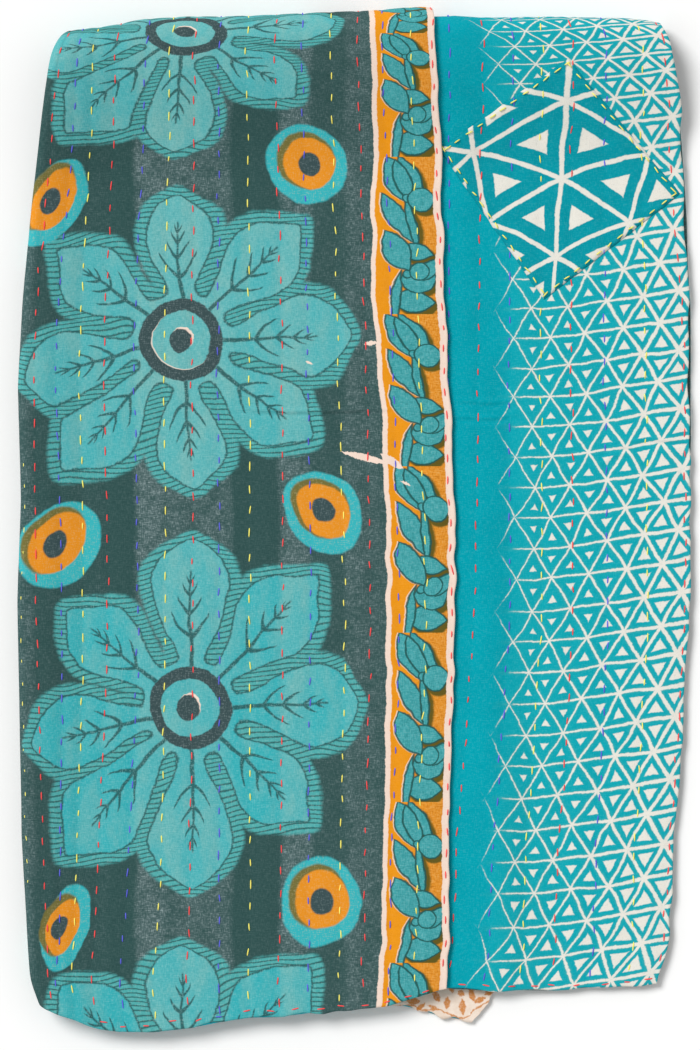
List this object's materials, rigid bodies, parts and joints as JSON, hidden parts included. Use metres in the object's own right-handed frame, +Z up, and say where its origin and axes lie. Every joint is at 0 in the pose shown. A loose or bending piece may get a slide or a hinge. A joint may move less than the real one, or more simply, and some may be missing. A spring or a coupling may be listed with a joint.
{
  "type": "folded kantha quilt",
  "caption": "Thin cotton kantha quilt, sewn through with running stitch, folded across its width and over at the top, dark flowered face over turquoise face.",
  "frame": {"origin": "middle of the footprint, on the surface that the folded quilt lies on", "axes": "+Y along the stack towards its top fold, +X from the side fold towards the open hems, +Z up through the layers"},
  "size_m": [0.6288, 0.9558, 0.0577],
  "materials": {
    "dark_flowered_cotton": "soft matt cotton",
    "turquoise_cotton": "soft matt cotton",
    "teal_patch_cotton": "soft matt cotton",
    "cream_patch_cotton": "soft matt cotton",
    "red_thread": "cotton thread",
    "yellow_thread": "cotton thread",
    "blue_thread": "cotton thread"
  },
  "bodies": {
    "root": {"face_cloth": "dark_flowered_cotton", "back_cloth": "turquoise_cotton", "diamond_patch": "teal_patch_cotton", "corner_patch": "cream_patch_cotton"}
  },
  "joints": []
}
